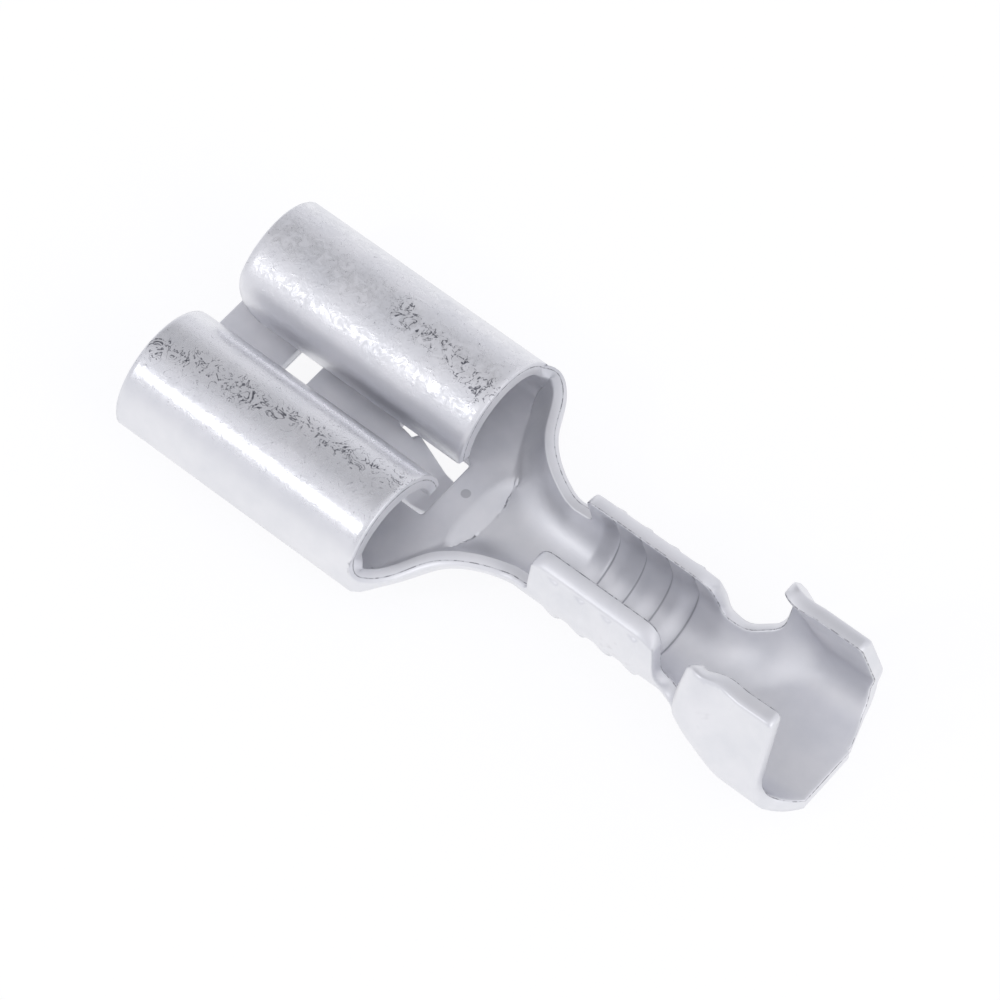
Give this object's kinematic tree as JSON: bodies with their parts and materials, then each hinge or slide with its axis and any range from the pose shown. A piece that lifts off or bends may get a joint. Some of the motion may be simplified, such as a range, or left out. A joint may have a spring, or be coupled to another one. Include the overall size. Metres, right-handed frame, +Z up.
{
  "type": "female spade terminal",
  "caption": "Folded sheet terminal with two rolled curls that grip a flat blade, a locking lance, and open crimp barrels for a wire and its insulation.",
  "frame": {"origin": "midway along the part on its mid-plane, level with its lowest point, the foot of the locking lance", "axes": "+X towards the wire end, away from the blade's mouth; +Y across, towards the curl whose wings sit further back; +Z up, from the floor towards the curls"},
  "size_m": [0.0192, 0.0076, 0.0044],
  "materials": {
    "tinned_sheet": "tin plated over brass, satin, lightly scuffed"
  },
  "bodies": {
    "root": {"folded_terminal": "tinned_sheet"}
  },
  "joints": []
}
